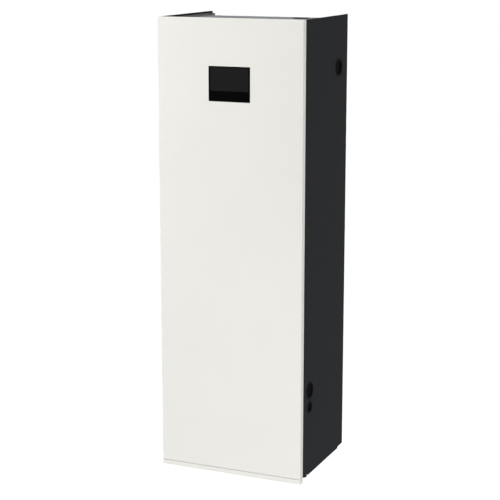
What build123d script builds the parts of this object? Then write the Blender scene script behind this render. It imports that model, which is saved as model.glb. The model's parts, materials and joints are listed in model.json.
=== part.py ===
from build123d import *
import os

# Wall battery unit: a tall steel cabinet that hangs on a wall bracket and holds
# battery modules, a battery management unit and an inverter behind a tilting front panel.
# Millimetres. The origin is the centre of the wall bracket's bolt pattern, on the wall.
# +X is to the right seen from the front, +Y goes into the wall, +Z is up.

os.makedirs("parts", exist_ok=True)

# Driving dimensions of the casing
width = 450.0
depth = 360.0
height = 1350.0
bolts_below_top = 150.0
sheet = 1.5
frame_sheet = 2.0

# Planes of the casing
half = width / 2
inside = half - sheet
front_y = -depth
top_z = bolts_below_top
bottom_z = top_z - height

# Front panel, its fixed strip and the plane of the body behind them
panel_depth = 19.0
panel_back_y = front_y + panel_depth
panel_inner_y = front_y + sheet
strip_height = 14.0
strip_gap = 0.7
panel_bottom_z = bottom_z + strip_height + strip_gap
body_front_y = -338.0
edge_radius = 1.6

# Side panels
side_back_y = -1.0
side_bottom_z = -1191.0
notch_height = 4.4
front_notch = 40.0
rear_notch = 42.0
front_flange = 12.0
top_flange = 25.0
rear_flange = 15.0
rear_flange_drop = 6.0
rear_stub = 7.0
hem_height = 5.0
bend_radius = 1.4

# Round knock-outs in each side panel at (y, z) and one in the top plate at (x, y)
large_plug_radius = 26.0
large_hole_radius = 24.0
small_plug_radius = 18.2
small_hole_radius = 16.5
upper_plug_at = (-74.0, -2.0)
lower_plug_at = (-289.0, -931.0)
small_plug_at = (-289.0, -982.0)
top_plug_at = (96.0, -52.0)
plug_rim = 1.5

# Inner frame
top_plate_z = top_z - 13.0
frame_top_z = top_plate_z - sheet
floor_z = -1140.0
frame_bottom_z = floor_z + sheet
frame_front_y = body_front_y + sheet
rear_panel_y = -24.0
frame_back_y = rear_panel_y - sheet
post_width = 30.0
front_post_depth = 18.5
rear_post_depth = 10.0

# Hanging rod that the front panel tilts on
rod_y = -347.0
rod_z = 144.0
rod_radius = 2.5
hook_x = 120.0
hook_clearance = 0.1

# Quarter-turn locks under the front corners
lock_x = 213.0
lock_y = -303.0
lock_pin_reach = 12.0
lock_pin_radius = 2.0
lock_shaft_radius = 3.0
shaft_clearance = 0.05

# Display
window_x = 64.5
window_z = (-85.0, 15.5)
glass_gap = 0.5
lcd_x = 59.0
lcd_z = (-54.7, 12.0)

# Wall bracket and its bolts
bracket_half_x = 190.0
bolt_spacing_x = 280.0
bolt_spacing_z = 30.0
bolt_hole_radius = 4.5
spacer_hole_radius = 3.5
spacer_z = -1065.0

# Battery modules and the shelves
module_x = 195.0
module_y = (-300.0, -50.0)
module_case_height = 215.0
module_bases = (-1046.0, -796.0, -546.0)
unit_base = -300.0
shelf_y = (-316.0, -36.0)
cell_size = (173.9, 53.8, 200.0)
cell_pitch_y = 58.0
cell_rows_y = tuple(-262.0 + row * cell_pitch_y for row in range(4))
cell_columns_x = (-91.0, 91.0)

# Battery management unit
unit_y = (-300.0, -115.0)
unit_top_z = -202.0
breaker_x = -123.0
breaker_pivot = (-312.0, -250.0)
button_x = -40.0
button_z = -250.0

# Inverter and its cooling
inverter_x = 195.0
inverter_y = (-300.0, -112.0)
inverter_z = (-180.0, 110.0)
casting = 3.0
fin_pitch = 13.2
fin_count = 29
fan_x = 100.0
fan_y = -70.0
fan_z = (-209.0, -184.0)
fan_size = 80.0

# Connections through the floor plate: (x, y, thread radius, cable radius)
glands = (
    (-20.0, -180.0, 16.0, 10.0),
    (40.0, -180.0, 10.0, 5.0),
    (80.0, -180.0, 10.0, 5.0),
)
pv_positions = tuple((-160.0 + index * 30.0, -100.0) for index in range(4))
pv_hole_radius = 7.0
pv_bore_radius = 5.5
earth_at = (140.0, -100.0)
earth_radius = 4.0
isolator_at = (-120.0, -240.0)


def block(x, y, z):
    """A box from its low and high corner along each axis."""
    spans = (x, y, z)
    centre = [(low + high) / 2 for low, high in spans]
    size = [high - low for low, high in spans]
    return Pos(*centre) * Box(*size)


def bar_x(radius, x, y, z):
    """A round bar along X."""
    return Pos(sum(x) / 2, y, z) * Rot(0, 90, 0) * Cylinder(radius, x[1] - x[0])


def bar_y(radius, x, y, z):
    """A round bar along Y."""
    return Pos(x, sum(y) / 2, z) * Rot(90, 0, 0) * Cylinder(radius, y[1] - y[0])


def bar_z(radius, x, y, z):
    """A round bar along Z."""
    return Pos(x, y, sum(z) / 2) * Cylinder(radius, z[1] - z[0])


def hexagon_z(radius, x, y, z):
    """A hexagonal bar along Z, with its corner radius."""
    profile = Pos(x, y, z[0]) * RegularPolygon(radius, 6)
    return extrude(profile, z[1] - z[0])


def around(centre, reach):
    """A span of a given half-length about a centre."""
    return (centre - reach, centre + reach)


def mirrored(shape):
    """The same shape on the other side of the cabinet."""
    return mirror(shape, about=Plane.YZ)


def save(name, *shapes):
    """Writes the solids of one sub-part to its STEP file."""
    solids = [solid for shape in shapes for solid in shape.solids()]
    export_step(Compound(solids), f"parts/{name}.step")


def screws(points, seat, direction, head_radius, shank_radius, grip, crown=0.55):
    """Round-head screws: the head on the seat plane, the shank through the sheet below it."""
    head_height = head_radius * crown
    result = []
    for across, along in points:
        if direction == "z":
            head = bar_z(head_radius, across, along, (seat, seat + head_height))
            shank = bar_z(shank_radius, across, along, (seat - grip, seat))
            socket = hexagon_z(head_radius * 0.45, across, along, (seat + head_height * 0.4, seat + head_height))
        else:
            head = bar_y(head_radius, across, (seat - head_height, seat), along)
            shank = bar_y(shank_radius, across, (seat, seat + grip), along)
            socket = bar_y(head_radius * 0.4, across, (seat - head_height, seat - head_height * 0.4), along)
        result.append(head + shank - socket)
    return result


# ---------------------------------------------------------------- wall side


def wall_bracket():
    """Z-section bracket bolted to the wall, with an upturned lip that carries the unit."""
    x = (-bracket_half_x, bracket_half_x)
    shape = block(x, (-3, 0), (-40, 40)) + block(x, (-15, 0), (37, 40)) + block(x, (-15, -12), (37, 60))
    for side in (-1, 1):
        for level in (-1, 1):
            hole_x = side * bolt_spacing_x / 2
            hole_z = level * bolt_spacing_z / 2
            shape -= bar_y(bolt_hole_radius, hole_x, (-4, 1), hole_z)
    return shape


def hanging_rail():
    """Rail on the rear panel whose downturned lip drops behind the bracket's lip."""
    x = (-180, 180)
    back = block(x, (rear_panel_y, rear_panel_y + 3), (30, 100))
    return back + block(x, (rear_panel_y, -7), (60, 63)) + block(x, (-10, -7), (44, 63))


def lower_spacer():
    """Z-section that keeps the foot of the unit off the wall and is screwed to it."""
    x = (-160, 160)
    shape = block(x, (-3, 0), (spacer_z - 15, spacer_z + 15))
    shape += block(x, (rear_panel_y, 0), (spacer_z + 12, spacer_z + 15))
    shape += block(x, (rear_panel_y, rear_panel_y + 2), (spacer_z + 12, spacer_z + 45))
    for side in (-1, 1):
        shape -= bar_y(spacer_hole_radius, side * bolt_spacing_x / 2, (-4, 1), spacer_z)
    return shape


def rear_panel():
    """Rear sheet with rows of cooling slots behind the heatsink."""
    shape = block((-inside, inside), (frame_back_y, rear_panel_y), (frame_bottom_z, frame_top_z))
    for side in (-1, 1):
        for row in range(6):
            slot_z = -150 + row * 12
            shape -= block(around(side * 100, 40), (-30, -20), (slot_z, slot_z + 5))
    return shape


# ---------------------------------------------------------------- casing


def side_panel():
    """Right side panel: folded and hemmed sheet with notched lower corners and three knock-outs."""
    shape = block((inside, half), (body_front_y, side_back_y), (side_bottom_z, top_z))
    shape += block((inside - sheet, inside), (body_front_y, side_back_y), (top_z - hem_height, top_z))
    notch_top = side_bottom_z + notch_height
    shape -= block((inside, half), (body_front_y, body_front_y + front_notch), (side_bottom_z, notch_top))
    shape -= block((inside, half), (side_back_y - rear_notch, side_back_y), (side_bottom_z, notch_top))
    flange_x = (inside - front_flange, inside)
    shape += block(flange_x, (body_front_y, body_front_y + sheet), (frame_bottom_z, top_z))
    flange_x = (inside - top_flange, inside)
    shape += block(flange_x, (body_front_y, body_front_y + sheet), (top_plate_z, top_z))
    rear_y = (side_back_y - sheet, side_back_y)
    shape += block((inside - rear_flange, inside), rear_y, (notch_top, top_z - rear_flange_drop))
    shape += block((inside - rear_stub, inside), rear_y, (notch_top, top_z))
    bends = [edge for edge in shape.edges().filter_by(Axis.Z) if edge.center().X > half - 0.01]
    bends = [edge for edge in bends if edge.center().Y in (body_front_y, side_back_y)]
    shape = fillet(bends, bend_radius)
    for (y, z), radius in (
        (upper_plug_at, large_hole_radius),
        (lower_plug_at, large_hole_radius),
        (small_plug_at, small_hole_radius),
    ):
        shape -= bar_x(radius, (inside - 1, half + 1), y, z)
    return shape


def blanking_plug(place, rim_radius, hole_radius):
    """Snap-in plug in the right side: a rim outside, a dished middle and a barrel inside."""
    y, z = place
    barrel_depth = 11.0
    barrel_radius = hole_radius - 0.1
    shape = bar_x(rim_radius, (half, half + plug_rim), y, z)
    shape += bar_x(barrel_radius, (half - barrel_depth, half), y, z)
    shape -= bar_x(barrel_radius - 4, (half - 4, half + plug_rim), y, z)
    shape -= bar_x(barrel_radius - 2, (half - barrel_depth, half - 6), y, z)
    return shape


def top_blanking_plug():
    """The same snap-in plug, set in the top plate."""
    plug = blanking_plug((0, 0), large_plug_radius, large_hole_radius)
    return Pos(*top_plug_at, top_plate_z) * Rot(0, -90, 0) * Pos(-half, 0, 0) * plug


flat_crown = 0.22
top_screw_points = [(x, y) for x in (-190, 0, 190) for y in (-321, -12)]


def top_plate():
    """Sheet recessed between the side panels, with three rows of vents."""
    y = (frame_front_y, side_back_y - sheet)
    shape = block((-inside, inside), y, (frame_top_z, top_plate_z))
    for row in range(3):
        for column in range(9):
            vent_x = -160 + column * 40
            vent_y = -230 + row * 60
            shape -= block(around(vent_x, 14), around(vent_y, 3), (frame_top_z - 1, top_plate_z + 1))
    for x, y in top_screw_points:
        shape -= bar_z(2.1, x, y, (frame_top_z - 1, top_plate_z + 1))
    return shape - bar_z(large_hole_radius, *top_plug_at, (frame_top_z - 1, top_plate_z + 1))


def floor_plate():
    """Floor sheet of the cabinet, drilled for glands, connectors and the earth stud."""
    z = (floor_z - 1, frame_bottom_z + 1)
    shape = block((-inside, inside), (frame_front_y, frame_back_y), (floor_z, frame_bottom_z))
    for x, y, thread_radius, _ in glands:
        shape -= bar_z(thread_radius, x, y, z)
    for x, y in pv_positions:
        shape -= bar_z(pv_hole_radius, x, y, z)
    return shape - bar_z(earth_radius, *earth_at, z)


def corner_post(front):
    """Right-hand corner post, an angle section that the panels are fixed to."""
    z = (frame_bottom_z, frame_top_z)
    x = (inside - post_width, inside)
    skin_x = (inside - frame_sheet, inside)
    if front:
        wide = block(x, (frame_front_y, frame_front_y + frame_sheet), z)
        return wide + block(skin_x, (frame_front_y, frame_front_y + front_post_depth), z)
    wide = block(x, (frame_back_y - frame_sheet, frame_back_y), z)
    return wide + block(skin_x, (frame_back_y - rear_post_depth, frame_back_y), z)


def top_front_rail():
    """Angle rail between the front posts, with three lugs that hold the hanging rod."""
    x = (post_width - inside, inside - post_width)
    face = (frame_front_y, frame_front_y + frame_sheet)
    shape = block(x, face, (100, frame_top_z))
    shape += block(x, (frame_front_y, -306), (frame_top_z - frame_sheet, frame_top_z))
    lug_nose = 4.0
    for lug_x in (-185, 0, 185):
        lug = around(lug_x, 1.5)
        shape += bar_x(lug_nose, lug, rod_y, rod_z)
        shape += block(lug, (rod_y, frame_front_y), (rod_z - 4, rod_z - 1))
        shape += block(lug, (frame_front_y - 3, frame_front_y), (110, rod_z - 1))
    return shape - bar_x(rod_radius, (-190, 190), rod_y, rod_z)


def bottom_front_rail():
    """Angle rail between the front posts at the floor."""
    x = (post_width - inside, inside - post_width)
    shape = block(x, (frame_front_y, frame_front_y + frame_sheet), (frame_bottom_z, -1100))
    return shape + block(x, (frame_front_y, -306), (frame_bottom_z, frame_bottom_z + frame_sheet))


def shelf(base):
    """Shelf with a front lip and side notches for the leads."""
    shape = block((-inside, inside), shelf_y, (base - frame_sheet, base))
    shape += block((-inside, inside), (shelf_y[0], shelf_y[0] + frame_sheet), (base - 17, base))
    notch = block((200, inside), (-255, -150), (base - 3, base + 1))
    return shape - notch - mirrored(notch)


# ---------------------------------------------------------------- front panel


def front_panel():
    """Folded tray with a window for the display."""
    shape = block((-half, half), (front_y, panel_back_y), (panel_bottom_z, top_z))
    front_edges = shape.faces().sort_by(Axis.Y)[0].edges()
    shape = fillet(front_edges, edge_radius)
    z = (panel_bottom_z + sheet, top_z - sheet)
    shape -= block((-inside, inside), (panel_inner_y, panel_back_y), z)
    window = block((-window_x, window_x), (front_y - 1, panel_inner_y + 1), window_z)
    return shape - fillet(window.edges().filter_by(Axis.Y), 2.0)


def panel_stiffener():
    """Hat section bonded inside the panel, on the right."""
    x = around(150, 20)
    z = (-1150, 80)
    crown = block(around(150, 12), (panel_inner_y, -346), z)
    crown -= block(around(150, 11), (panel_inner_y, -347), z)
    return crown + block(x, (panel_inner_y, panel_inner_y + 1), z) - block(around(150, 11), (panel_inner_y, -357.4), z)


def panel_hook():
    """Hook on the right that hangs the panel over the rod; its slot opens downwards."""
    grip = rod_radius + hook_clearance
    shape = block(around(hook_x, 10), around(rod_y, grip + 2.6), (136, top_z - sheet))
    shape -= bar_x(grip, around(hook_x, 11), rod_y, rod_z)
    return shape - block(around(hook_x, 11), around(rod_y, grip), (135, rod_z))


def panel_catch():
    """Strap with a standing pin that the right-hand lock holds."""
    pin_y = lock_y - lock_pin_reach
    strap_z = panel_bottom_z + sheet
    shape = block(around(lock_x, 7), (-355, pin_y + 3), (strap_z, strap_z + 2))
    return shape + bar_z(lock_pin_radius, lock_x, pin_y, (strap_z, strap_z + 12))


def bottom_strip():
    """Fixed strip under the panel: a channel that is open at the back."""
    strip_top = bottom_z + strip_height
    shape = block((-half, half), (front_y, panel_back_y), (bottom_z, strip_top))
    shape = fillet(shape.faces().sort_by(Axis.Y)[0].edges(), edge_radius)
    return shape - block((-inside, inside), (panel_inner_y, panel_back_y), (bottom_z + sheet, strip_top - sheet))


def strip_bracket():
    """Right-hand bracket that hangs the strip from the floor plate."""
    x = around(100, 20)
    foot_z = bottom_z + sheet
    return block(x, (-356, -300), (foot_z, foot_z + 2)) + block(x, (-302, -300), (foot_z, floor_z))


# ---------------------------------------------------------------- locks


def lock_housing():
    """Bearing block of the right-hand lock under the floor plate."""
    shape = bar_z(9, lock_x, lock_y, (-1172, floor_z))
    bore_radius = lock_shaft_radius + shaft_clearance
    return shape - bar_z(bore_radius, lock_x, lock_y, (-1173, -1148))


def lock_knob():
    """Right-hand quarter-turn knob with a hooked cam, drawn unlocked."""
    knob_z = (-1197.0, -1187.0)
    cam_z = (-1178.0, -1174.0)
    knob = bar_z(10, lock_x, lock_y, knob_z)
    knob = fillet(knob.edges().filter_by(GeomType.CIRCLE).sort_by(Axis.Z)[0], 4)
    slot = block(around(lock_x, 7), around(lock_y, 1), (knob_z[0] - 1, knob_z[0] + 1.5))
    shape = knob - slot
    shape += bar_z(4, lock_x, lock_y, (knob_z[1], cam_z[0]))
    shape += bar_z(6, lock_x, lock_y, cam_z)
    shape += bar_z(lock_shaft_radius, lock_x, lock_y, (cam_z[1], -1150))
    inner = lock_pin_reach + lock_pin_radius + 0.3
    outer = inner + 3.5
    arm_angle = 150.0
    arc_angle = 50.0
    with BuildSketch(Plane.XY.offset(cam_z[0])) as hook:
        with BuildLine():
            first = PolarLine((0, 0), outer + 4, arm_angle)
            PolarLine((0, 0), outer + 4, arm_angle + arc_angle)
            Line(first @ 1, (outer + 4) * Vector(1, 0).rotate(Axis.Z, arm_angle + arc_angle))
        make_face()
        Circle(outer, mode=Mode.INTERSECT)
        Circle(inner, mode=Mode.SUBTRACT)
    arc = extrude(hook.sketch, cam_z[1] - cam_z[0])
    arm_length = inner + 1.5
    arm = Rot(0, 0, arm_angle) * block((0, arm_length), (-2.5, 2.5), cam_z)
    return shape + Pos(lock_x, lock_y, 0) * (arc + arm)


# ---------------------------------------------------------------- display


def display_glass():
    """Cover glass, just behind the face of the panel and clear of its window."""
    x = (glass_gap - window_x, window_x - glass_gap)
    z = (window_z[0] + glass_gap, window_z[1] - glass_gap)
    glass = block(x, (front_y + 0.4, front_y + 2.4), z)
    return fillet(glass.edges().filter_by(Axis.Y), 1.6)


def display_housing():
    """Shallow box behind the glass, open at the front."""
    y = (front_y + 2.4, -344)
    shape = block((-62.5, 62.5), y, (-83, 14))
    return shape - block((-60.5, 60.5), (y[0], y[1] - 2), (-81, 12.2))


def display_lcd():
    """Liquid crystal panel under the upper part of the glass."""
    return block((-lcd_x, lcd_x), (front_y + 2.4, front_y + 5), lcd_z)


def display_board():
    """Circuit board with three chips behind the liquid crystal panel."""
    shape = block((-58, 58), (-352, -350.4), (-78, 10))
    for chip_x in (-35, 0, 35):
        shape += block(around(chip_x, 8), (-350.4, -348.8), (-40, -24))
    return shape


def display_crossbar():
    """Crossbar between the front posts that carries the display housing."""
    x = (post_width - inside, inside - post_width)
    shape = block(x, (frame_front_y, frame_front_y + frame_sheet), (-60, -10))
    return shape + block((-50, 50), (-344, frame_front_y), (-50, -20))


# ---------------------------------------------------------------- battery modules


def module_case(base):
    """Folded case, open at the top."""
    z = (base, base + module_case_height)
    outer = block((-module_x, module_x), module_y, z)
    wall = frame_sheet
    inner_y = (module_y[0] + wall, module_y[1] - wall)
    return outer - block((wall - module_x, module_x - wall), inner_y, (base + wall, z[1]))


lid_screw_points = [(x, y) for x in (-180, 0, 180) for y in (-290, -60)]


def module_lid(base):
    """Lid with a raised middle and six screw holes."""
    seat = base + module_case_height
    shape = block((-module_x, module_x), module_y, (seat, seat + 2))
    shape += block((-165, 165), (-275, -75), (seat + 2, seat + 5))
    for x, y in lid_screw_points:
        shape -= bar_z(1.7, x, y, (seat - 1, seat + 3))
    return shape


def module_handle(base):
    """Grab handle on the front of a module."""
    y = (-330, module_y[0])
    z = around(base + 150, 6)
    shape = block((-70, 70), y, z)
    return shape - block((-58, 58), (-318, module_y[0]), z)


def module_cells(base):
    """Two columns of four prismatic cells, with a pair of terminals on each."""
    bottom = base + frame_sheet
    top = bottom + cell_size[2]
    cells = []
    for x in cell_columns_x:
        for y in cell_rows_y:
            cell = block(around(x, cell_size[0] / 2), around(y, cell_size[1] / 2), (bottom, top))
            for side in (-1, 1):
                cell += bar_z(7, x + side * 55, y, (top, top + 2))
            cells.append(cell)
    return cells


def module_busbars(base):
    """Flat bars that join the cells of a module in series."""
    z = (base + frame_sheet + cell_size[2] + 2, base + frame_sheet + cell_size[2] + 5)
    bars = []
    for row in range(3):
        side = -55 if row % 2 else 55
        bar = block(around(cell_columns_x[1] + side, 9), (cell_rows_y[row] - 9, cell_rows_y[row + 1] + 9), z)
        bars += [bar, mirrored(bar)]
    bars.append(block((-45, 45), around(cell_rows_y[3], 9), z))
    return bars


# ---------------------------------------------------------------- battery management unit


def unit_housing():
    """Box of the battery management unit, open at the top, with cut-outs in its front."""
    wall = frame_sheet
    shape = block((-module_x, module_x), unit_y, (unit_base, unit_top_z))
    inner_y = (unit_y[0] + wall, unit_y[1] - wall)
    shape -= block((wall - module_x, module_x - wall), inner_y, (unit_base + wall, unit_top_z))
    front = (unit_y[0] - 1, unit_y[0] + wall + 1)
    shape -= block(around(breaker_x, 28), front, (-292, -208))
    return shape - bar_y(11.5, button_x, front, button_z)


def unit_lid():
    """Flat lid of the battery management unit."""
    return block((-module_x, module_x), unit_y, (unit_top_z, unit_top_z + 2))


def main_breaker():
    """Three-pole breaker body with a slot for its lever."""
    y, z = breaker_pivot
    shape = block(around(breaker_x, 28), (-310, -250), (-292, -208))
    shape += block(around(breaker_x, 28), (-316, -310), (-275, -225))
    shape -= block(around(breaker_x, 20.3), (-317, y + 8), around(z, 10))
    return shape - bar_x(1.55, around(breaker_x, 25), y, z)


def breaker_lever():
    """Lever of the main breaker, drawn in its lower, open position."""
    y, z = breaker_pivot
    hub = bar_x(6, around(breaker_x, 20), y, z)
    arm = block(around(breaker_x, 20), (-19, 0), (-3, 3))
    arm = fillet(arm.edges().filter_by(Axis.X).sort_by(Axis.Y)[:2], 2)
    arm = Pos(0, y, z) * Rot(25, 0, 0) * arm
    return hub + arm + bar_x(1.5, around(breaker_x, 24), y, z)


def start_switch():
    """Barrel of the start switch, closed at the back."""
    shape = bar_y(11.5, button_x, (-302.5, -280), button_z)
    shape += bar_y(13.5, button_x, (-302.5, -300), button_z)
    return shape - bar_y(8.3, button_x, (-303, -283), button_z)


def start_button():
    """Cap of the start switch, which pushes in."""
    cap = bar_y(8, button_x, (-305.5, -288), button_z)
    return fillet(cap.edges().filter_by(GeomType.CIRCLE).sort_by(Axis.Y)[0], 1)


def main_contactor():
    """Battery contactor with its two power terminals."""
    shape = block((60, 130), (-270, -190), (unit_base + frame_sheet, -235))
    for x in (78, 112):
        shape += bar_z(6, x, -230, (-235, -225))
    return shape


# ---------------------------------------------------------------- inverter


def inverter_housing():
    """Cast tray, open at the front."""
    shape = block((-inverter_x, inverter_x), inverter_y, inverter_z)
    x = (casting - inverter_x, inverter_x - casting)
    z = (inverter_z[0] + casting, inverter_z[1] - casting)
    return shape - block(x, (inverter_y[0], inverter_y[1] - casting), z)


cover_screw_points = [(x, z) for x in (-188, -63, 63, 188) for z in (-173, 103)]


def inverter_cover():
    """Front cover of the inverter with a raised field and screw holes."""
    y = (inverter_y[0] - casting, inverter_y[0])
    shape = block((-inverter_x, inverter_x), y, inverter_z)
    shape += block((-170, 170), (y[0] - 2, y[0]), (-155, 85))
    for x, z in cover_screw_points:
        shape -= bar_y(1.7, x, (y[0] - 1, y[1] + 1), z)
    return shape


def inverter_board():
    """Power board with three chokes' feet and a row of switching modules."""
    shape = block((-170, 170), (-262, -260.4), (-160, 90))
    for x in (-110, 0, 110):
        shape += block(around(x, 22), (-260.4, -252), (-150, -110))
    return shape


def capacitors():
    """Six link capacitors standing on the front of the board."""
    cans = []
    for column in range(3):
        for row in range(2):
            x = -110 + column * 45
            z = 10 + row * 45
            can = bar_y(17, x, (-296, -262), z)
            can = fillet(can.edges().filter_by(GeomType.CIRCLE).sort_by(Axis.Y)[0], 2)
            cans.append(can)
    return cans


def inductors():
    """Three filter inductors behind the board."""
    rings = []
    for x in (-100, 0, 100):
        ring = bar_y(34, x, (-230, -200), 30) - bar_y(15, x, (-231, -199), 30)
        rings.append(fillet(ring.edges().filter_by(GeomType.CIRCLE), 5))
    return rings


def inverter_bracket():
    """Right-hand bracket that carries the inverter from the side of the cabinet."""
    z = (-150, 80)
    shape = block((inverter_x, inside), (-125, -123), z)
    shape += block((inverter_x, inverter_x + 2), (-145, -123), z)
    return shape + block((inside - 2, inside), (-145, -123), z)


def heatsink():
    """Finned heatsink on the back of the inverter."""
    shape = block((-190, 190), (-112, -104), (-175, 105))
    first = -(fin_count - 1) / 2 * fin_pitch
    fins = [block(around(first + index * fin_pitch, 1), (-104, -34), (-170, 100)) for index in range(fin_count)]
    return shape + fins


def fan_plate():
    """Plate under the heatsink with an opening over each fan."""
    shape = block((-190, 190), (-113, -27), (fan_z[1], fan_z[1] + 2))
    for side in (-1, 1):
        shape -= bar_z(38.5, side * fan_x, fan_y, (fan_z[1] - 1, fan_z[1] + 3))
    return shape


def fan_frame(x):
    """Square fan frame with struts, a motor seat and a fixed shaft."""
    reach = fan_size / 2
    shape = block(around(x, reach), around(fan_y, reach), fan_z)
    shape -= bar_z(38.5, x, fan_y, (fan_z[0] - 1, fan_z[1] + 1))
    shape += bar_z(16, x, fan_y, (fan_z[0], fan_z[0] + 4))
    for turn in range(4):
        strut = block((14, 39.2), (-2, 2), (fan_z[0], fan_z[0] + 3))
        shape += Pos(x, fan_y, 0) * Rot(0, 0, 45 + turn * 90) * strut
    return shape + bar_z(1.5, x, fan_y, (fan_z[0], fan_z[0] + 19))


def fan_rotor(x):
    """Hub with seven pitched blades, turning on the frame's shaft."""
    hub_z = (fan_z[0] + 5.5, fan_z[0] + 23)
    shape = bar_z(17, 0, 0, hub_z)
    blade_z = sum(hub_z) / 2
    for turn in range(7):
        blade = Pos(26, 0, blade_z) * Rot(38, 0, 0) * Box(21, 1.6, 17)
        shape += Rot(0, 0, turn * 360 / 7) * blade
    shape -= bar_z(1.5 + shaft_clearance, 0, 0, (hub_z[0] - 1, hub_z[0] + 14.5))
    return Pos(x, fan_y, 0) * shape


# ---------------------------------------------------------------- connections


def gland_body(x, y, thread_radius, cable_radius):
    """Hexagon with a threaded neck on both sides of it."""
    shape = hexagon_z(thread_radius * 1.3, x, y, (floor_z - 8, floor_z))
    shape += bar_z(thread_radius, x, y, (floor_z, floor_z + 11.5))
    shape += bar_z(thread_radius - 0.5, x, y, (floor_z - 18, floor_z - 8))
    return shape - bar_z(cable_radius + 2, x, y, (floor_z - 19, floor_z + 12))


def gland_nut(x, y, thread_radius, cable_radius):
    """Domed nut below the gland body."""
    z = (floor_z - 24, floor_z - 8.5)
    shape = bar_z(thread_radius + 3, x, y, z)
    shape = chamfer(shape.edges().filter_by(GeomType.CIRCLE).sort_by(Axis.Z)[0], 2)
    shape -= bar_z(thread_radius - 0.4, x, y, (floor_z - 18.5, z[1] + 1))
    return shape - bar_z(cable_radius + 1, x, y, (z[0] - 1, z[1]))


def gland_seal(x, y, thread_radius, cable_radius):
    """Rubber sleeve inside the gland body that grips the cable."""
    z = (floor_z - 17, floor_z - 3)
    return bar_z(cable_radius + 2, x, y, z) - bar_z(cable_radius, x, y, z)


def gland_locknut(x, y, thread_radius, cable_radius):
    """Hexagonal nut on the inside of the floor plate."""
    z = (frame_bottom_z, frame_bottom_z + 5)
    return hexagon_z(thread_radius * 1.3, x, y, z) - bar_z(thread_radius, x, y, z)


def pv_connector(x, y):
    """Panel socket for a string lead."""
    shape = hexagon_z(10, x, y, (floor_z - 5, floor_z))
    shape += bar_z(pv_hole_radius - 0.05, x, y, (floor_z, floor_z + 14))
    shape += bar_z(8, x, y, (floor_z - 30, floor_z - 5))
    return shape - bar_z(pv_bore_radius, x, y, (floor_z - 31, floor_z - 12))


def earth_stud():
    """Protective earth stud through the floor plate, with its nut."""
    x, y = earth_at
    shape = bar_z(earth_radius, x, y, (floor_z - 30, floor_z + 12))
    return shape + hexagon_z(8, x, y, (floor_z - 6.5, floor_z)) + hexagon_z(8, x, y, (frame_bottom_z, floor_z + 8))


def isolator():
    """Body of the rotary isolator under the floor plate."""
    x, y = isolator_at
    shape = block(around(x, 25), around(y, 25), (floor_z - 26, floor_z))
    shape = fillet(shape.edges().filter_by(Axis.Z), 4)
    return shape - bar_z(4 + shaft_clearance, x, y, (floor_z - 27, floor_z - 8))


def isolator_knob():
    """Round knob with a grip bar and a shaft that turns in the isolator."""
    x, y = isolator_at
    shape = bar_z(20, x, y, (floor_z - 35, floor_z - 27.5))
    shape = fillet(shape.edges().filter_by(GeomType.CIRCLE).sort_by(Axis.Z)[0], 2)
    grip = block(around(x, 5), around(y, 19), (floor_z - 48, floor_z - 34))
    shape += fillet(grip.edges().filter_by(Axis.X).sort_by(Axis.Z)[:2], 3)
    return shape + bar_z(4, x, y, (floor_z - 28, floor_z - 10))


def din_rail():
    """Top-hat rail on the floor plate."""
    x = (-60, 110)
    shape = block(x, (-297, -262), (frame_bottom_z, frame_bottom_z + 7.5))
    shape -= block(x, (-289, -270), (frame_bottom_z + 1, frame_bottom_z + 7.5))
    shape -= block(x, (-297, -290), (frame_bottom_z, frame_bottom_z + 6.5))
    return shape - block(x, (-269, -262), (frame_bottom_z, frame_bottom_z + 6.5))


def terminal_blocks():
    """Five feed-through terminals on the rail."""
    seat = frame_bottom_z + 7.5
    result = []
    for index in range(5):
        x = -20 + index * 15
        shape = block(around(x, 6.5), (-299, -260), (seat, seat + 32))
        for y in (-290, -269):
            shape -= bar_z(3, x, y, (seat + 20, seat + 33))
        result.append(shape)
    return result


def lead(points, bends, radius):
    """A fixed lead: straight runs joined by tangent arcs."""
    path = FilletPolyline(*points, radius=bends)
    section = Plane(origin=path @ 0, z_dir=path % 0) * Circle(radius)
    return sweep(section, path=path)


def ac_lead():
    """Lead from the inverter down the left side to the terminals."""
    side = -209
    terminal_z = frame_bottom_z + 7.5 + 16
    points = [
        (-inverter_x, -230, -120),
        (side, -230, -120),
        (side, -230, terminal_z + 20),
        (-120, -280, terminal_z),
        (-26.5, -280, terminal_z),
    ]
    return lead(points, [12, 30, 60], 4.5)


def dc_leads():
    """Leads on the right side that join the management unit and the modules."""
    side = 209
    runs = (
        (-200, -260, module_bases[0] + 180),
        (-170, module_bases[1] + 60, module_bases[0] + 200),
        (-170, module_bases[2] + 60, module_bases[1] + 200),
    )
    result = []
    for y, start_z, end_z in runs:
        points = [(module_x, y, start_z), (side, y, start_z), (side, y, end_z), (module_x, y, end_z)]
        result.append(lead(points, [12, 12], 4))
    return result


# ---------------------------------------------------------------- writing the sub-parts

save("wall_bracket", wall_bracket())
save("hanging_rail", hanging_rail())
save("lower_spacer", lower_spacer())
save("rear_panel", rear_panel())

right_side = side_panel()
save("right_side_panel", right_side)
save("left_side_panel", mirrored(right_side))
large_plugs = [blanking_plug(place, large_plug_radius, large_hole_radius) for place in (upper_plug_at, lower_plug_at)]
small_plug = blanking_plug(small_plug_at, small_plug_radius, small_hole_radius)
plugs = [*large_plugs, small_plug]
save("blanking_plugs", *plugs, *[mirrored(plug) for plug in plugs], top_blanking_plug())
save("top_plate", top_plate())
save("floor_plate", floor_plate())

posts = [corner_post(True), corner_post(False)]
save("corner_posts", *posts, *[mirrored(post) for post in posts])
save("front_rails", top_front_rail(), bottom_front_rail())
save("hanging_rod", bar_x(rod_radius, (-190, 190), rod_y, rod_z))
save("shelves", *[shelf(base) for base in (*module_bases, unit_base)])

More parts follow.
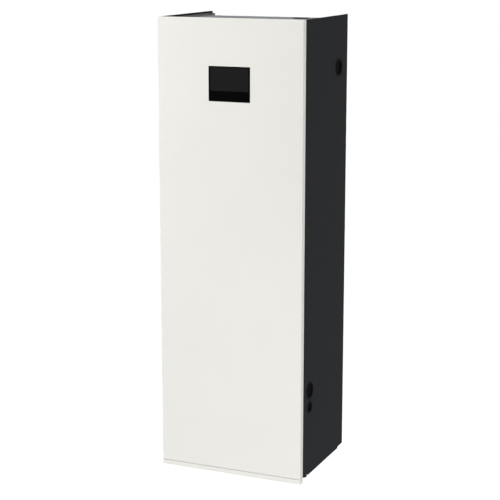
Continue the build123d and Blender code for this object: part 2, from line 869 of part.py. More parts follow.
save("front_panel", front_panel())
stiffener = panel_stiffener()
save("panel_stiffeners", stiffener, mirrored(stiffener))
hook = panel_hook()
save("panel_hooks", hook, mirrored(hook))
catch = panel_catch()
save("panel_catches", catch, mirrored(catch))
save("bottom_strip", bottom_strip())
bracket = strip_bracket()
save("strip_brackets", bracket, mirrored(bracket))

housing = lock_housing()
save("lock_housings", housing, mirrored(housing))
knob = lock_knob()
save("right_lock_knob", knob)
save("left_lock_knob", mirrored(knob))

save("display_glass", display_glass())
save("display_lcd", display_lcd())
save("display_housing", display_housing())
save("display_board", display_board())
save("display_crossbar", display_crossbar())

save("module_cases", *[module_case(base) for base in module_bases])
save("box_lids", *[module_lid(base) for base in module_bases], unit_lid())
save("module_handles", *[module_handle(base) for base in module_bases])
save("module_cells", *[cell for base in module_bases for cell in module_cells(base)])
save("module_busbars", *[bar for base in module_bases for bar in module_busbars(base)])

save("unit_housing", unit_housing())
save("main_breaker", main_breaker())
save("breaker_lever", breaker_lever())
save("start_switch", start_switch())
save("start_button", start_button())
save("main_contactor", main_contactor())

save("inverter_housing", inverter_housing())
save("inverter_cover", inverter_cover())
save("inverter_board", inverter_board())
save("link_capacitors", *capacitors())
save("filter_inductors", *inductors())
bracket = inverter_bracket()
save("inverter_brackets", bracket, mirrored(bracket))
save("heatsink", heatsink())
save("fan_plate", fan_plate())
save("fan_frames", fan_frame(-fan_x), fan_frame(fan_x))
save("left_fan_rotor", fan_rotor(-fan_x))
save("right_fan_rotor", fan_rotor(fan_x))

save("gland_bodies", *[gland_body(*gland) for gland in glands])
save("gland_nuts", *[gland_nut(*gland) for gland in glands], *[gland_locknut(*gland) for gland in glands])
save("gland_seals", *[gland_seal(*gland) for gland in glands])
save("pv_connectors", *[pv_connector(*place) for place in pv_positions])
save("earth_stud", earth_stud())
save("isolator", isolator())
save("isolator_knob", isolator_knob())
save("din_rail", din_rail())
save("terminal_blocks", *terminal_blocks())
save("internal_leads", ac_lead(), *dc_leads())

lid_seats = [base + module_case_height + 2 for base in module_bases]
save(
    "screws",
    *screws(top_screw_points, top_plate_z, "z", 4.5, 2.0, sheet, flat_crown),
    *[screw for seat in lid_seats for screw in screws(lid_screw_points, seat, "z", 3.2, 1.6, 2)],
    *screws(cover_screw_points, inverter_y[0] - casting, "y", 3.2, 1.6, casting),
)
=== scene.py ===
import json
import math

import bmesh
import bpy
from mathutils import Matrix, Vector


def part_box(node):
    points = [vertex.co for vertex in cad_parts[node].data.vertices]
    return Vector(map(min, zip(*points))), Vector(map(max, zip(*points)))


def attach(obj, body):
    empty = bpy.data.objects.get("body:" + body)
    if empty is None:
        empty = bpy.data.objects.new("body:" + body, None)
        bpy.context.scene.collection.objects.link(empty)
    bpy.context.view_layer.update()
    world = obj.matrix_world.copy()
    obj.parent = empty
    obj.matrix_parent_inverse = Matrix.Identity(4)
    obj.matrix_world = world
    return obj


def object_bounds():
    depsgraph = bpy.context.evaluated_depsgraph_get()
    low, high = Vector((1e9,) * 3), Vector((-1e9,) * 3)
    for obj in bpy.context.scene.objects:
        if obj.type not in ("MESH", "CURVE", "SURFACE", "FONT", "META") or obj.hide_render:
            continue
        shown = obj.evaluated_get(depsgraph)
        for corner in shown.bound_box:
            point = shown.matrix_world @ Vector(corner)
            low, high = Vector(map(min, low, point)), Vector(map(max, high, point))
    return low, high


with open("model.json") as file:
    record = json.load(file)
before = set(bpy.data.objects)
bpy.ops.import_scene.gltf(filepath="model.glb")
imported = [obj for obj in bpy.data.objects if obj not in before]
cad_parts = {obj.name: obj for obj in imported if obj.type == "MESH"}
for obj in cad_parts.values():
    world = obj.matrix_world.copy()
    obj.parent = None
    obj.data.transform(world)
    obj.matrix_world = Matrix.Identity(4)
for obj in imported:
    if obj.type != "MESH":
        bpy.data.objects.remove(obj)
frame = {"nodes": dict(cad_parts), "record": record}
cad_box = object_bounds()
nodes = frame["nodes"]
scene = bpy.context.scene

# Looks for the wall battery unit. Metres, in the part's own frame: the wall is the plane y = 0,
# the front faces -Y, +X is to the right seen from the front and +Z is up.

MM = 0.001
panel_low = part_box("front_panel")[0]
lcd_low, lcd_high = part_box("display_lcd")
glass_low, glass_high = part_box("display_glass")
case_low, case_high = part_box("module_cases")
cover_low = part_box("inverter_cover")[0]
unit_low, unit_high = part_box("unit_housing")
plate_thickness = 3.2 * MM
plate_face = case_low.y - plate_thickness
module_pitch = 250 * MM
grip_height = 150 * MM
hem_height = 5.1 * MM


# ---------------------------------------------------------------- camera


def look_at(aim, azimuth, elevation, distance, lens):
    """A camera round a point: azimuth 0 looks along +Y, elevation is above the horizon."""
    data = bpy.data.cameras.new("camera")
    data.lens = lens
    camera = bpy.data.objects.new("camera", data)
    scene.collection.objects.link(camera)
    across, up = math.radians(azimuth), math.radians(elevation)
    back = Vector((math.sin(across) * math.cos(up), -math.cos(across) * math.cos(up), math.sin(up)))
    camera.location = aim + back * distance
    camera.rotation_euler = (-back).to_track_quat("-Z", "Y").to_euler()
    scene.camera = camera


look_at(Vector((-0.0187, -0.1687, -0.5532)), azimuth=23.43, elevation=12.14, distance=4.40, lens=104.7)


# ---------------------------------------------------------------- materials


class Paint:
    """One node-based material: a Principled shader with textures in the object's own metres."""

    def __init__(self, name, colour, roughness, metallic=0.0, specular=0.5):
        self.material = bpy.data.materials.new(name)
        self.material.use_nodes = True
        self.tree = self.material.node_tree
        self.shader = self.tree.nodes["Principled BSDF"]
        self.place = self.node("ShaderNodeTexCoord").outputs["Object"]
        self.set("Base Color", (*colour, 1.0))
        self.set("Roughness", roughness)
        self.set("Metallic", metallic)
        self.set("Specular IOR Level", specular)

    def node(self, kind, **values):
        made = self.tree.nodes.new(kind)
        for key, value in values.items():
            setattr(made, key, value)
        return made

    def link(self, output, target):
        self.tree.links.new(output, target)

    def set(self, socket, value):
        self.shader.inputs[socket].default_value = value

    def noise(self, scale, detail=2.0, stretch=(1.0, 1.0, 1.0)):
        mapping = self.node("ShaderNodeMapping")
        mapping.inputs["Scale"].default_value = stretch
        self.link(self.place, mapping.inputs["Vector"])
        made = self.node("ShaderNodeTexNoise")
        made.inputs["Scale"].default_value = scale
        made.inputs["Detail"].default_value = detail
        self.link(mapping.outputs["Vector"], made.inputs["Vector"])
        return made.outputs["Fac"]

    def cells(self, scale, output="Color"):
        made = self.node("ShaderNodeTexVoronoi")
        made.inputs["Scale"].default_value = scale
        self.link(self.place, made.inputs["Vector"])
        return made.outputs[output]

    def ramp(self, factor, stops):
        made = self.node("ShaderNodeValToRGB")
        elements = made.color_ramp.elements
        while len(elements) < len(stops):
            elements.new(0.5)
        for element, (position, colour) in zip(elements, stops):
            element.position = position
            element.color = (*colour, 1.0)
        self.link(factor, made.inputs["Fac"])
        return made.outputs["Color"]

    def spread(self, factor, low, high):
        made = self.node("ShaderNodeMapRange")
        made.inputs["From Min"].default_value = 0.3
        made.inputs["From Max"].default_value = 0.7
        made.inputs["To Min"].default_value = low
        made.inputs["To Max"].default_value = high
        self.link(factor, made.inputs["Value"])
        return made.outputs["Result"]

    def colour_from(self, factor, low, high):
        self.link(self.ramp(factor, ((0.3, low), (0.7, high))), self.shader.inputs["Base Color"])

    def roughness_from(self, factor, low, high):
        self.link(self.spread(factor, low, high), self.shader.inputs["Roughness"])

    def bump(self, height, distance, strength=1.0):
        made = self.node("ShaderNodeBump")
        made.inputs["Distance"].default_value = distance
        made.inputs["Strength"].default_value = strength
        self.link(height, made.inputs["Height"])
        self.link(made.outputs["Normal"], self.shader.inputs["Normal"])


def shade(colour, factor):
    """A colour made lighter or darker."""
    return tuple(channel * factor for channel in colour)


def powder_coat(name, colour, roughness, specular, peel):
    """Powder coat: a faint mottle in the colour and an orange-peel surface."""
    paint = Paint(name, colour, roughness, specular=specular)
    paint.colour_from(paint.noise(2.5, 3.0), shade(colour, 0.985), shade(colour, 1.012))
    paint.roughness_from(paint.noise(45.0), roughness - 0.05, roughness + 0.05)
    paint.bump(paint.noise(650.0, 1.0), peel)
    return paint.material


def textured_coat(name, colour, roughness, specular):
    """Fine-structure powder coat: a sanded surface with tiny lighter grains."""
    paint = Paint(name, colour, roughness, specular=specular)
    paint.colour_from(paint.noise(1400.0, 1.0), shade(colour, 0.80), shade(colour, 1.25))
    paint.roughness_from(paint.noise(700.0), roughness - 0.02, roughness + 0.04)
    paint.bump(paint.noise(1100.0, 2.0), 0.00006)
    return paint.material


def coated_outside(name, colour, back_colour):
    """Precoated sheet: textured paint on the faces that look outwards, grey primer on the others."""
    paint = Paint(name, colour, 0.62, specular=0.03)
    shape = paint.node("ShaderNodeNewGeometry")
    centre = (cad_box[0] + cad_box[1]) / 2
    outward = paint.node("ShaderNodeVectorMath", operation="SUBTRACT")
    outward.inputs[1].default_value = centre
    paint.link(paint.place, outward.inputs[0])
    level = paint.node("ShaderNodeVectorMath", operation="MULTIPLY")
    level.inputs[1].default_value = (1.0, 1.0, 0.0)
    paint.link(outward.outputs["Vector"], level.inputs[0])
    facing = paint.node("ShaderNodeVectorMath", operation="DOT_PRODUCT")
    paint.link(level.outputs["Vector"], facing.inputs[0])
    paint.link(shape.outputs["True Normal"], facing.inputs[1])
    side = paint.node("ShaderNodeMapRange")
    side.inputs["From Min"].default_value = -0.004
    side.inputs["From Max"].default_value = -0.002
    paint.link(facing.outputs["Value"], side.inputs["Value"])
    split = paint.node("ShaderNodeSeparateXYZ")
    paint.link(paint.place, split.inputs[0])
    hem = paint.node("ShaderNodeMath", operation="GREATER_THAN")
    hem.inputs[1].default_value = cad_box[1].z - hem_height
    paint.link(split.outputs["Z"], hem.inputs[0])
    painted = paint.node("ShaderNodeMath", operation="MAXIMUM")
    paint.link(side.outputs["Result"], painted.inputs[0])
    paint.link(hem.outputs[0], painted.inputs[1])
    grains = paint.noise(1400.0, 1.0)
    outer = paint.ramp(grains, ((0.3, shade(colour, 0.85)), (0.7, shade(colour, 1.15))))
    inner = paint.ramp(grains, ((0.3, shade(back_colour, 0.95)), (0.7, shade(back_colour, 1.05))))
    mix = paint.node("ShaderNodeMix", data_type="RGBA")
    paint.link(painted.outputs[0], mix.inputs["Factor"])
    paint.link(inner, mix.inputs["A"])
    paint.link(outer, mix.inputs["B"])
    paint.link(mix.outputs["Result"], paint.shader.inputs["Base Color"])
    paint.roughness_from(paint.noise(700.0), 0.60, 0.66)
    paint.bump(paint.noise(1100.0, 2.0), 0.00006)
    return paint.material


def zinc_sheet(name):
    """Zinc-coated sheet with crystals of slightly different greys."""
    paint = Paint(name, (0.5, 0.51, 0.52), 0.4, metallic=1.0)
    crystals = paint.cells(260.0)
    paint.colour_from(crystals, (0.42, 0.43, 0.44), (0.60, 0.61, 0.62))
    paint.roughness_from(crystals, 0.34, 0.50)
    paint.bump(paint.noise(300.0), 0.00002)
    return paint.material


def turned_metal(name, colour, roughness, grain=(1.0, 1.0, 1.0)):
    """Bare machined or drawn metal, with fine marks."""
    paint = Paint(name, colour, roughness, metallic=1.0)
    marks = paint.noise(400.0, 3.0, grain)
    paint.colour_from(marks, shade(colour, 0.9), shade(colour, 1.06))
    paint.roughness_from(marks, roughness - 0.07, roughness + 0.1)
    paint.bump(marks, 0.00003)
    return paint.material


def moulded(name, colour, roughness, specular=0.4, grain=0.00004):
    """Moulded plastic or rubber with a fine eroded texture."""
    paint = Paint(name, colour, roughness, specular=specular)
    paint.colour_from(paint.noise(90.0, 3.0), shade(colour, 0.9), shade(colour, 1.12))
    paint.roughness_from(paint.noise(60.0), roughness - 0.05, roughness + 0.07)
    paint.bump(paint.noise(1600.0, 1.0), grain)
    return paint.material


def circuit_board(name):
    """Solder mask over copper tracks."""
    paint = Paint(name, (0.02, 0.13, 0.05), 0.35)
    tracks = paint.cells(170.0, "Distance")
    mask, track = (0.02, 0.12, 0.05), (0.05, 0.22, 0.09)
    greens = paint.ramp(tracks, ((0.30, mask), (0.36, track), (0.42, mask)))
    paint.link(greens, paint.shader.inputs["Base Color"])
    paint.roughness_from(paint.noise(60.0), 0.3, 0.42)
    paint.bump(tracks, 0.00004)
    return paint.material


def display_face(name):
    """Black-printed cover glass; the unlit liquid crystal area shows as a lighter rectangle."""
    black, unlit = (0.0003, 0.0003, 0.0003), (0.0100, 0.0100, 0.0102)
    paint = Paint(name, black, 0.12, specular=0.03)
    split = paint.node("ShaderNodeSeparateXYZ")
    paint.link(paint.place, split.inputs[0])
    centre, reach = (lcd_low + lcd_high) / 2, (lcd_high - lcd_low) / 2
    masks = []
    for axis, index in (("X", 0), ("Z", 2)):
        offset = paint.node("ShaderNodeMath", operation="SUBTRACT")
        offset.inputs[1].default_value = centre[index]
        paint.link(split.outputs[axis], offset.inputs[0])
        size = paint.node("ShaderNodeMath", operation="ABSOLUTE")
        paint.link(offset.outputs[0], size.inputs[0])
        edge = paint.node("ShaderNodeMapRange")
        edge.inputs["From Min"].default_value = reach[index] + 0.0002
        edge.inputs["From Max"].default_value = reach[index] - 0.0002
        paint.link(size.outputs[0], edge.inputs["Value"])
        masks.append(edge.outputs["Result"])
    both = paint.node("ShaderNodeMath", operation="MULTIPLY")
    paint.link(masks[0], both.inputs[0])
    paint.link(masks[1], both.inputs[1])
    paint.link(paint.ramp(both.outputs[0], ((0.0, black), (1.0, unlit))), paint.shader.inputs["Base Color"])
    paint.roughness_from(paint.noise(25.0), 0.10, 0.15)
    return paint.material


white_paint = powder_coat("white_paint", (0.675, 0.668, 0.632), 0.42, 0.30, 0.00004)
anthracite_paint = textured_coat("anthracite_paint", (0.0150, 0.0160, 0.0178), 0.62, 0.03)
side_paint = coated_outside("side_paint", (0.0150, 0.0160, 0.0178), (0.30, 0.30, 0.31))
primer = textured_coat("primer", (0.205, 0.210, 0.220), 0.7, 0.0)
zinc_steel = zinc_sheet("zinc_steel")
bright_steel = turned_metal("bright_steel", (0.62, 0.62, 0.63), 0.28)
aluminium = turned_metal("aluminium", (0.66, 0.67, 0.68), 0.42)
copper = turned_metal("copper", (0.72, 0.36, 0.20), 0.33)
black_plastic = moulded("black_plastic", (0.0045, 0.0045, 0.0048), 0.45, 0.25)
grey_plastic = moulded("grey_plastic", (0.30, 0.31, 0.32), 0.5)
rubber = moulded("rubber", (0.012, 0.012, 0.012), 0.75, 0.2)
plug_rubber = moulded("plug_rubber", (0.0035, 0.0036, 0.0040), 0.7, 0.03)
blue_film = moulded("blue_film", (0.03, 0.12, 0.42), 0.3, 0.5, 0.00001)
red_plastic = moulded("red_plastic", (0.50, 0.015, 0.01), 0.35, 0.5, 0.00001)
green_plastic = moulded("green_plastic", (0.02, 0.28, 0.07), 0.35, 0.5, 0.00001)
foam = moulded("foam", (0.02, 0.02, 0.021), 0.9, 0.1, 0.0003)
orange_plastic = moulded("orange_plastic", (0.72, 0.20, 0.01), 0.4, 0.45, 0.00002)
board_green = circuit_board("board_green")
display_black = display_face("display_black")

SLOTS = {
    "white_paint": white_paint,
    "anthracite_paint": anthracite_paint,
    "zinc_steel": zinc_steel,
    "bright_steel": bright_steel,
    "aluminium": aluminium,
    "copper": copper,
    "black_plastic": black_plastic,
    "grey_plastic": grey_plastic,
    "rubber": rubber,
    "blue_film": blue_film,
    "red_plastic": red_plastic,
    "green_plastic": green_plastic,
    "board_green": board_green,
    "display_glass": display_black,
    "display_dark": black_plastic,
}


def dress_nodes():
    """Gives each CAD node the material of its slot."""
    for entry in frame["record"]["subparts"]:
        slots = nodes[entry["node"]].material_slots
        for place in slots:
            place.material = SLOTS[entry["material_slot"]]


dress_nodes()
for panel in ("left_side_panel", "right_side_panel"):
    nodes[panel].material_slots[0].material = side_paint
nodes["top_plate"].material_slots[0].material = primer
nodes["blanking_plugs"].material_slots[0].material = plug_rubber


# ---------------------------------------------------------------- building detail pieces


class Shape:
    """A mesh put together from rounded slabs and turned profiles."""

    def __init__(self):
        self.mesh = bmesh.new()

    def take(self, part):
        """Adds a finished part and frees it."""
        spare = bpy.data.meshes.new("spare")
        part.to_mesh(spare)
        part.free()
        self.mesh.from_mesh(spare)
        bpy.data.meshes.remove(spare)

    def slab(self, low, high, bevel=0.6 * MM, segments=2):
        """Block between two corners, with rounded edges."""
        low, high = Vector(low), Vector(high)
        part = bmesh.new()
        bmesh.ops.create_cube(part, size=1.0)
        for vertex in part.verts:
            for axis in range(3):
                vertex.co[axis] = low[axis] if vertex.co[axis] < 0 else high[axis]
        edges = part.edges[:]
        bmesh.ops.bevel(part, geom=edges, offset=bevel, segments=segments, profile=0.5, affect="EDGES")
        self.take(part)

    def turned(self, origin, direction, profile, steps=40, closed=False):
        """Profile of (radius, height) turned round an axis through the origin."""
        turn = Vector(direction).to_track_quat("Z", "Y").to_matrix().to_4x4()
        place = Matrix.Translation(origin) @ turn
        part = bmesh.new()
        rings = []
        for radius, height in profile:
            if radius < 1e-7:
                rings.append([part.verts.new(place @ Vector((0.0, 0.0, height)))] * steps)
                continue
            angles = [2 * math.pi * step / steps for step in range(steps)]
            points = [Vector((radius * math.cos(a), radius * math.sin(a), height)) for a in angles]
            rings.append([part.verts.new(place @ point) for point in points])
        pairs = list(zip(rings, rings[1:] + rings[:1])) if closed else list(zip(rings, rings[1:]))
        for first, second in pairs:
            for step in range(steps):
                after = (step + 1) % steps
                corners = []
                for corner in (first[step], first[after], second[after], second[step]):
                    if corner not in corners:
                        corners.append(corner)
                if len(corners) > 2:
                    part.faces.new(corners)
        bmesh.ops.recalc_face_normals(part, faces=part.faces[:])
        self.take(part)

    def rod(self, start, end, radius, steps=14):
        """Round bar with softened ends."""
        start, end = Vector(start), Vector(end)
        length = (end - start).length
        soft = radius * 0.35
        profile = [(0.0, 0.0), (radius - soft, 0.0), (radius, soft), (radius, length - soft)]
        profile += [(radius - soft, length), (0.0, length)]
        self.turned(start, end - start, profile, steps)

    def wire_ring(self, centre, direction, radius, wire, steps=64):
        """Ring of round wire."""
        turns = [2 * math.pi * step / 10 for step in range(10)]
        profile = [(radius + wire * math.cos(a), wire * math.sin(a)) for a in turns]
        self.turned(centre, direction, profile, steps, closed=True)

    def piece(self, name, material, body):
        """Ends the shape and puts it on a body of the frame."""
        for face in self.mesh.faces:
            face.smooth = True
        for edge in self.mesh.edges:
            if len(edge.link_faces) == 2 and edge.calc_face_angle(0.0) > math.radians(35):
                edge.smooth = False
        mesh = bpy.data.meshes.new(name)
        self.mesh.to_mesh(mesh)
        self.mesh.free()
        mesh.materials.append(material)
        made = bpy.data.objects.new(name, mesh)
        scene.collection.objects.link(made)
        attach(made, body)
        return made


def solids(node):
    """Boxes of a node's separate solids, as (lowest corner, highest corner), from low to high."""
    joined = bmesh.new()
    joined.from_mesh(nodes[node].data)
    bmesh.ops.remove_doubles(joined, verts=joined.verts[:], dist=1e-6)
    left = set(joined.verts)
    boxes = []
    while left:
        found, edge_of = [], [left.pop()]
        while edge_of:
            vertex = edge_of.pop()
            found.append(vertex.co.copy())
            for edge in vertex.link_edges:
                other = edge.other_vert(vertex)
                if other in left:
                    left.remove(other)
                    edge_of.append(other)
        low = Vector([min(point[axis] for point in found) for axis in range(3)])
        high = Vector([max(point[axis] for point in found) for axis in range(3)])
        boxes.append((low, high))
    joined.free()
    return sorted(boxes, key=lambda box: (round(box[0].z, 5), round(box[0].x, 5), round(box[0].y, 5)))


def scaled(profile):
    """A profile in millimetres turned into metres."""
    return [(radius * MM, height * MM) for radius, height in profile]


def socket_screw(shape, place, direction, radius=4.0):
    """Cylinder-head screw with a round recess."""
    head = [(0, 0.9), (0.45, 0.9), (0.5, 2.2), (0.86, 2.4), (1.0, 2.1), (1.0, 0.0), (0, 0)]
    shape.turned(place, direction, [(r * radius * MM, h * radius / 4.0 * MM) for r, h in head], 24)


FRONT = (0.0, -1.0, 0.0)
DOWN = (0.0, 0.0, -1.0)


# ---------------------------------------------------------------- outside details


def plug_inserts():
    """Ribbed membranes set in the dished middles of the blanking plugs."""
    shape = Shape()
    large = [(0, 2.6), (2.6, 2.5), (3.4, 1.3), (8.4, 1.1), (9.0, 1.9), (10.2, 1.9), (10.8, 1.1), (14.6, 1.1)]
    large += [(15.2, 2.1), (16.4, 2.1), (17.0, 1.1), (18.4, 1.1), (19.7, 3.6), (19.8, 0.1), (0, 0.1)]
    dish = 5.5 * MM
    for low, high in solids("blanking_plugs"):
        middle = (low + high) / 2
        reach = (high.y - low.y) / 2 / MM
        share = (reach - 6.2) / 19.8
        profile = scaled([(radius * share, height) for radius, height in large])
        on_top = high.x - low.x > 30 * MM
        side = 1.0 if middle.x > 0 else -1.0
        face = high.x if side > 0 else low.x
        if on_top:
            shape.turned((middle.x, middle.y, high.z - dish), (0, 0, 1), profile, 48)
        else:
            shape.turned((face - side * dish, middle.y, middle.z), (side, 0, 0), profile, 48)
    shape.piece("plug_inserts", plug_rubber, "cabinet")


def body_gaskets():
    """Foam strips round the open front of the body that the panel's tray closes over."""
    shape = Shape()
    flange_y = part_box("right_side_panel")[0].y
    rail_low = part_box("front_rails")[0]
    thick = 2.3 * MM
    inner, outer = 213.5 * MM, 221.5 * MM
    bottom, top = rail_low.z + 8 * MM, 126 * MM
    for side in (-1, 1):
        x = sorted((side * inner, side * outer))
        shape.slab((x[0], flange_y - thick, bottom), (x[1], flange_y - 0.05 * MM, top), 1.0 * MM, 3)
    rail_y = flange_y + 1.5 * MM
    for z in (104 * MM, rail_low.z + 12 * MM):
        low, high = (-205 * MM, rail_y - thick, z - 3.5 * MM), (205 * MM, rail_y - 0.05 * MM, z + 3.5 * MM)
        shape.slab(low, high, 1.0 * MM, 3)
    shape.piece("body_gaskets", rubber, "cabinet")


def window_seal():
    """Thin seal round the panel's display window, behind its edge."""
    shape = Shape()
    y = (panel_low.y + 1.55 * MM, panel_low.y + 3.2 * MM)
    gap, wide = 0.6 * MM, 6.0 * MM
    left, right = glass_low.x - gap, glass_high.x + gap
    bottom, top = glass_low.z - gap, glass_high.z + gap
    shape.slab((left - wide, y[0], bottom - wide), (left, y[1], top + wide))
    shape.slab((right, y[0], bottom - wide), (right + wide, y[1], top + wide))
    shape.slab((left, y[0], top), (right, y[1], top + wide))
    shape.slab((left, y[0], bottom - wide), (right, y[1], bottom))
    shape.piece("window_seal", rubber, "front_panel")


def panel_pads():
    """Damping mats stuck to the inside of the front panel between its stiffeners."""
    shape = Shape()
    y = (panel_low.y + 1.55 * MM, panel_low.y + 5.5 * MM)
    for low_z, high_z in ((-1120, -830), (-810, -520), (-500, -210)):
        shape.slab((-120 * MM, y[0], low_z * MM), (120 * MM, y[1], high_z * MM), 1.5 * MM, 3)
    shape.piece("panel_pads", foam, "front_panel")


# ---------------------------------------------------------------- battery modules


def each_module():
    """The lowest corner's height of each battery module."""
    count = round((case_high.z - case_low.z) / module_pitch)
    return [case_low.z + index * module_pitch for index in range(count)]


def module_plates():
    """Moulded front plates of the modules, with a grip frame and stiffening ribs."""
    shape = Shape()
    face = plate_face
    for base in each_module():
        low, high = (-184 * MM, face, base + 7 * MM), (184 * MM, case_low.y - 0.05 * MM, base + 208 * MM)
        shape.slab(low, high, 1.2 * MM, 3)
        grip = base + grip_height
        for side in (-1, 1):
            x = sorted((side * 80 * MM, side * 84 * MM))
            y = (face - 2 * MM, face + 0.5 * MM)
            shape.slab((x[0], y[0], grip - 22 * MM), (x[1], y[1], grip + 22 * MM), 0.8 * MM)
            z = grip + side * 20 * MM
            shape.slab((-81 * MM, y[0], z - 2 * MM), (81 * MM, y[1], z + 2 * MM), 0.8 * MM)
        for index in range(9):
            x = (-160 + index * 16) * MM
            low = (x - 2 * MM, face - 1.6 * MM, base + 24 * MM)
            shape.slab(low, (x + 2 * MM, face + 0.5 * MM, base + 104 * MM), 0.8 * MM)
    shape.piece("module_plates", black_plastic, "cabinet")


def module_screws():
    """Socket screws that hold the module plates."""
    shape = Shape()
    for base in each_module():
        for x in (-175, 0, 175):
            for z in (15, 200):
                socket_screw(shape, (x * MM, plate_face, base + z * MM), FRONT)
    shape.piece("module_screws", bright_steel, "cabinet")


def module_sockets(name, x, material):
    """Round power sockets on the module plates."""
    shape = Shape()
    profile = [(0, 2.0), (4.0, 2.0), (4.0, 8.0), (5.2, 9.0), (6.0, 9.0), (6.0, 3.0), (9.0, 3.0), (9.0, 11.0)]
    profile += [(9.8, 12.0), (11.6, 12.0), (12.4, 11.0), (12.4, 4.0), (15.0, 3.2), (15.4, 0.0), (0, 0)]
    for base in each_module():
        shape.turned((x, case_low.y - 3.1 * MM, base + 62 * MM), FRONT, scaled(profile), 40)
    shape.piece(name, material, "cabinet")


def module_ports():
    """Data sockets of the modules: frames with a dark mouth."""
    shape = Shape()
    y = (plate_face - 4 * MM, plate_face + 0.4 * MM)
    wall = 1.2 * MM
    for base in each_module():
        for x in (118, 142):
            low_z, high_z = base + 150 * MM, base + 166 * MM
            left, right = (x - 9) * MM, (x + 9) * MM
            for side in (left, right):
                shape.slab((side - wall, y[0], low_z), (side + wall, y[1], high_z), 0.4 * MM)
            for z in (low_z, high_z):
                shape.slab((left, y[0], z - wall), (right, y[1], z + wall), 0.4 * MM)
    shape.piece("module_ports", grey_plastic, "cabinet")


def module_lights():
    """Rows of small lenses that show the state of each module."""
    shape = Shape()
    lens = [(0, 1.4), (1.2, 1.2), (2.0, 0.6), (2.2, 0.0), (0, 0)]
    for base in each_module():
        for index in range(5):
            place = ((-150 + index * 9) * MM, case_low.y - 3.1 * MM, base + 128 * MM)
            shape.turned(place, FRONT, scaled(lens), 20)
    shape.piece("module_lights", green_plastic, "cabinet")


# ---------------------------------------------------------------- upper equipment


def unit_front():
    """Louvres and a socket field on the battery management unit."""
    shape = Shape()
    face = unit_low.y
    for index in range(5):
        z = unit_high.z - (14 + index * 8) * MM
        low, high = (20 * MM, face - 2.2 * MM, z - 1.5 * MM), (170 * MM, face + 0.3 * MM, z + 1.5 * MM)
        shape.slab(low, high, 0.7 * MM)
    low = (10 * MM, face - 1.6 * MM, unit_low.z + 12 * MM)
    shape.slab(low, (178 * MM, face - 0.05 * MM, unit_low.z + 46 * MM), 0.8 * MM)
    shape.piece("unit_front", black_plastic, "cabinet")


def unit_sockets():
    """Row of round plug sockets on the battery management unit."""
    shape = Shape()
    profile = [(0, 1.0), (3.4, 1.0), (3.4, 6.0), (6.0, 6.0), (6.0, 8.5)]
    profile += [(8.2, 8.5), (9.0, 7.8), (9.0, 0.0), (0, 0)]
    for x in (36, 72, 108, 144):
        shape.turned((x * MM, unit_low.y - 1.5 * MM, unit_low.z + 29 * MM), FRONT, scaled(profile), 32)
    shape.piece("unit_sockets", orange_plastic, "cabinet")


def inverter_ribs():
    """Ribs and a plain hatch on the inverter's cover."""
    shape = Shape()
    face = cover_low.y
    for index in range(10):
        z = cover_low.z + (42 + index * 10) * MM
        low, high = (-150 * MM, face - 2.6 * MM, z - 1.8 * MM), (150 * MM, face + 0.4 * MM, z + 1.8 * MM)
        shape.slab(low, high, 0.9 * MM, 3)
    low = (-70 * MM, face - 1.8 * MM, cover_low.z + 160 * MM)
    shape.slab(low, (70 * MM, face - 0.05 * MM, cover_low.z + 215 * MM), 1.0 * MM, 3)
    shape.piece("inverter_ribs", aluminium, "cabinet")


def inverter_screws():
    """Socket screws of the inverter's hatch."""
    shape = Shape()
    face = cover_low.y - 1.8 * MM
    for x in (-62, 62):
        for z in (168, 207):
            socket_screw(shape, (x * MM, face, cover_low.z + z * MM), FRONT, 3.2)
    shape.piece("inverter_screws", bright_steel, "cabinet")


def fan_guards():
    """Wire guards under the two fans."""
    shape = Shape()
    wire = 0.9 * MM
    for low, high in solids("fan_frames"):
        middle = (low + high) / 2
        level = low.z - wire - 0.1 * MM
        for radius in (10, 19, 28, 37):
            shape.wire_ring((middle.x, middle.y, level), DOWN, radius * MM, wire, 48)
        for turn in range(4):
            angle = math.radians(45 + 90 * turn)
            out = Vector((math.cos(angle), math.sin(angle), 0.0))
            hub = Vector((middle.x, middle.y, level - wire))
            shape.rod(hub + out * 9 * MM, hub + out * 49 * MM, wire, 10)
    shape.piece("fan_guards", bright_steel, "cabinet")


def terminal_levers():
    """Coloured clamping levers on the terminal blocks."""
    shape = Shape()
    for low, high in solids("terminal_blocks"):
        middle = (low + high) / 2
        reach = (high.x - low.x) * 0.28
        for z in (low.z + 7 * MM, high.z - 7 * MM):
            corner = (middle.x - reach, low.y - 1.8 * MM, z - 3.5 * MM)
            shape.slab(corner, (middle.x + reach, low.y + 0.3 * MM, z + 3.5 * MM), 0.7 * MM)
    shape.piece("terminal_levers", orange_plastic, "cabinet")


plug_inserts()
body_gaskets()
window_seal()
panel_pads()
module_plates()
module_screws()
module_sockets("module_sockets_plus", 118 * MM, orange_plastic)
module_sockets("module_sockets_minus", 154 * MM, black_plastic)
module_ports()
module_lights()
unit_front()
unit_sockets()
inverter_ribs()
inverter_screws()
fan_guards()
terminal_levers()


# ---------------------------------------------------------------- stage and light


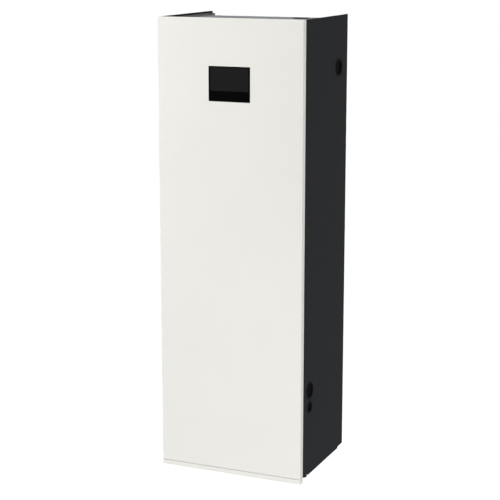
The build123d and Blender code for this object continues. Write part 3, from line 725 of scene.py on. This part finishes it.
def plain_floor():
    """Large pale floor well below the unit, which hangs on a wall."""
    drop = 0.6
    reach = 300.0
    mesh = bpy.data.meshes.new("floor")
    level = cad_box[0].z - drop
    corners = [(-reach, -reach, level), (reach, -reach, level), (reach, reach, level), (-reach, reach, level)]
    mesh.from_pydata(corners, [], [(0, 1, 2, 3)])
    floor = bpy.data.objects.new("floor", mesh)
    scene.collection.objects.link(floor)
    paint = Paint("floor_paint", (0.92, 0.92, 0.92), 0.9, specular=0.0)
    paint.colour_from(paint.noise(0.4), (0.915, 0.915, 0.915), (0.925, 0.925, 0.925))
    mesh.materials.append(paint.material)


def soft_light(name, kind, energy, location, aim, **settings):
    """A lamp pointed at a place."""
    data = bpy.data.lights.new(name, kind)
    data.energy = energy
    for key, value in settings.items():
        setattr(data, key, value)
    lamp = bpy.data.objects.new(name, data)
    scene.collection.objects.link(lamp)
    lamp.location = location
    lamp.rotation_euler = (Vector(aim) - Vector(location)).to_track_quat("-Z", "Y").to_euler()


def studio():
    """Pale surroundings, an overhead fill, a key light at the upper left and a low fill at the right."""
    world = bpy.data.worlds.new("studio")
    scene.world = world
    world.use_nodes = True
    tree = world.node_tree
    direction = tree.nodes.new("ShaderNodeTexCoord")
    split = tree.nodes.new("ShaderNodeSeparateXYZ")
    tree.links.new(direction.outputs["Generated"], split.inputs[0])
    fade = tree.nodes.new("ShaderNodeValToRGB")
    stops = fade.color_ramp.elements
    for position, level in ((0.0, 1.0), (0.08, 0.66), (0.25, 0.30), (1.0, 0.30)):
        ends = {0.0: stops[0], 1.0: stops[len(stops) - 1]}
        stop = ends[position] if position in ends else stops.new(position)
        stop.color = (level, level, level, 1.0)
    tree.links.new(split.outputs["Z"], fade.inputs["Fac"])
    tree.links.new(fade.outputs["Color"], tree.nodes["Background"].inputs["Color"])
    soft_light("overhead", "SUN", 2.5, (0.0, -0.5, 4.0), (0.0, 0.0, 0.0), angle=math.radians(60))
    soft_light("key", "AREA", 14.4, (-1.35, -1.4, 0.55), (0.0, -0.36, -0.1), shape="SQUARE", size=0.9)
    soft_light("fill", "AREA", 11.0, (0.75, -2.0, -1.55), (0.1, -0.3, -1.0), shape="SQUARE", size=0.9)
    scene.view_settings.view_transform = "Standard"


plain_floor()
studio()
